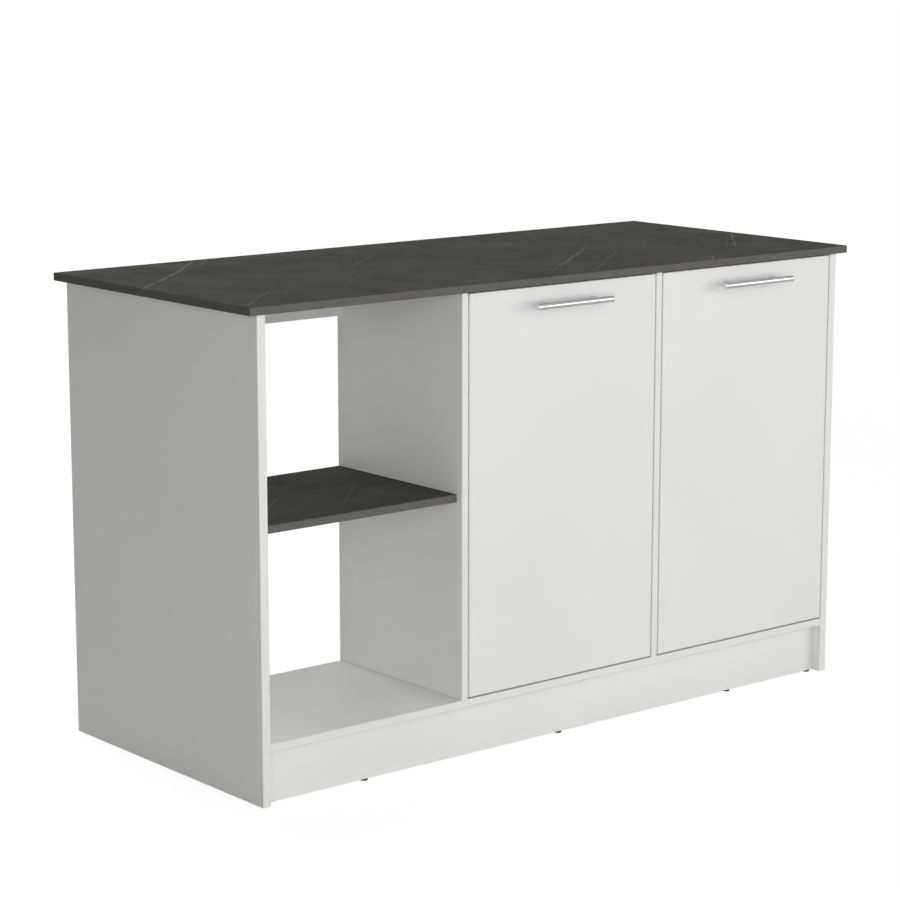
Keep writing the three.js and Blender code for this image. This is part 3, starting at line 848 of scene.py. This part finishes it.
def seen_directly(tree):
    """1 for rays that show the background as it is: from the camera, off gloss or through glass."""
    rays = tree.nodes.new("ShaderNodeLightPath")
    seen = rays.outputs["Is Camera Ray"]
    for kind in ("Is Glossy Ray", "Is Transmission Ray"):
        either = tree.nodes.new("ShaderNodeMath")
        either.operation = "MAXIMUM"
        tree.links.new(seen, either.inputs[0])
        tree.links.new(rays.outputs[kind], either.inputs[1])
        seen = either.outputs[0]
    return seen


def floor():
    """A pale floor that shows white, with the object's soft shadow on it."""
    mesh = bpy.data.meshes.new("floor")
    half = FLOOR_SIZE / 2
    corners = [(-half, -half, 0), (half, -half, 0), (half, half, 0), (-half, half, 0)]
    mesh.from_pydata(corners, [], [(0, 1, 2, 3)])
    made = bpy.data.objects.new("floor", mesh)
    bpy.context.scene.collection.objects.link(made)

    finish = Finish("floor")
    across = finish.vector("MULTIPLY", finish.place(), FLAT)
    away = finish.node("VectorMath", {0: across}, operation="LENGTH").outputs["Value"]
    plain_white = finish.ramp(away, *FADE, smooth=True)
    lit_share = finish.calc("SUBTRACT", 1.0, plain_white)
    paint = finish.node("BsdfDiffuse", {"Color": FLOOR_PAINT})
    shown_paint = finish.node("BsdfDiffuse", {"Color": FLOOR_SHOWN})
    glow = finish.node("Emission", {"Strength": FLOOR_GLOW})
    near = finish.node("AddShader", {0: shown_paint.outputs[0], 1: glow.outputs[0]})
    white = finish.node("Emission", {"Strength": 1.0})
    shown = finish.node("MixShader", {0: lit_share, 1: white.outputs[0], 2: near.outputs[0]})
    seen = seen_directly(finish.tree)
    both = finish.node("MixShader", {0: seen, 1: paint.outputs[0], 2: shown.outputs[0]})
    finish.node("OutputMaterial", {"Surface": both.outputs[0]})
    mesh.materials.append(finish.material)


def world(ambient):
    """Soft light from everywhere, and plain white wherever it is seen."""
    made = bpy.data.worlds.new("studio")
    bpy.context.scene.world = made
    made.use_nodes = True
    tree = made.node_tree
    tree.nodes.clear()
    light = tree.nodes.new("ShaderNodeBackground")
    light.inputs["Strength"].default_value = ambient
    white = tree.nodes.new("ShaderNodeBackground")
    white.inputs["Strength"].default_value = 1.0
    for background in (light, white):
        background.inputs["Color"].default_value = PLAIN_WHITE
    mix = tree.nodes.new("ShaderNodeMixShader")
    tree.links.new(seen_directly(tree), mix.inputs[0])
    tree.links.new(light.outputs[0], mix.inputs[1])
    tree.links.new(white.outputs[0], mix.inputs[2])
    output = tree.nodes.new("ShaderNodeOutputWorld")
    tree.links.new(mix.outputs[0], output.inputs["Surface"])


def softbox(name, place, target, size, brightness):
    """A rectangular lamp at place, turned to target, whose panel shows that brightness."""
    lamp = bpy.data.lights.new(name, "AREA")
    lamp.shape = "RECTANGLE"
    lamp.size, lamp.size_y = size
    # A flat panel of area A that gives off P watts has a radiance of P / (pi A).
    lamp.energy = brightness * math.pi * size[0] * size[1]
    made = bpy.data.objects.new(name, lamp)
    bpy.context.scene.collection.objects.link(made)
    made.location = place
    made.rotation_euler = (Vector(target) - Vector(place)).to_track_quat("-Z", "Y").to_euler()


AMBIENT = 0.05
# Places and sizes in metres.
SOFTBOXES = {
    "front_left": {"place": (-3.4, -4.1, 1.3), "size": (3.0, 2.6), "brightness": 3.4},
    "front_right": {"place": (3.4, -4.0, 1.3), "size": (3.8, 2.4), "brightness": 3.0},
    "front_low": {"place": (0.0, -4.6, 0.6), "size": (2.6, 1.2), "brightness": 2.25},
    "front_high": {"place": (-0.4, -3.8, 3.6), "size": (3.0, 2.0), "brightness": 1.15},
    "above": {"place": (0.0, 0.3, 4.4), "size": (3.0, 3.0), "brightness": 1.25},
    "behind": {"place": (-0.1, 5.0, 1.8), "size": (1.8, 3.0), "brightness": 10.2},
}
LIT_POINT = (0.0, 0.0, 0.5)

floor()
world(AMBIENT)
for softbox_name, softbox_values in SOFTBOXES.items():
    softbox(softbox_name, target=LIT_POINT, **softbox_values)

CAMERA_PLACE = (-3.3709, -4.0335, 1.5203)
CAMERA_TURN = (79.24, 0.0, -39.43)  # degrees
SENSOR = 36.0  # mm
FOCAL_PIXELS = 2683.3
FRAME_PIXELS = 900


def camera():
    data = bpy.data.cameras.new("camera")
    data.sensor_width = SENSOR
    data.lens = SENSOR * FOCAL_PIXELS / FRAME_PIXELS
    made = bpy.data.objects.new("camera", data)
    bpy.context.scene.collection.objects.link(made)
    made.location = CAMERA_PLACE
    made.rotation_euler = [math.radians(turn) for turn in CAMERA_TURN]
    bpy.context.scene.camera = made


camera()
bpy.context.scene.view_settings.view_transform = "Standard"
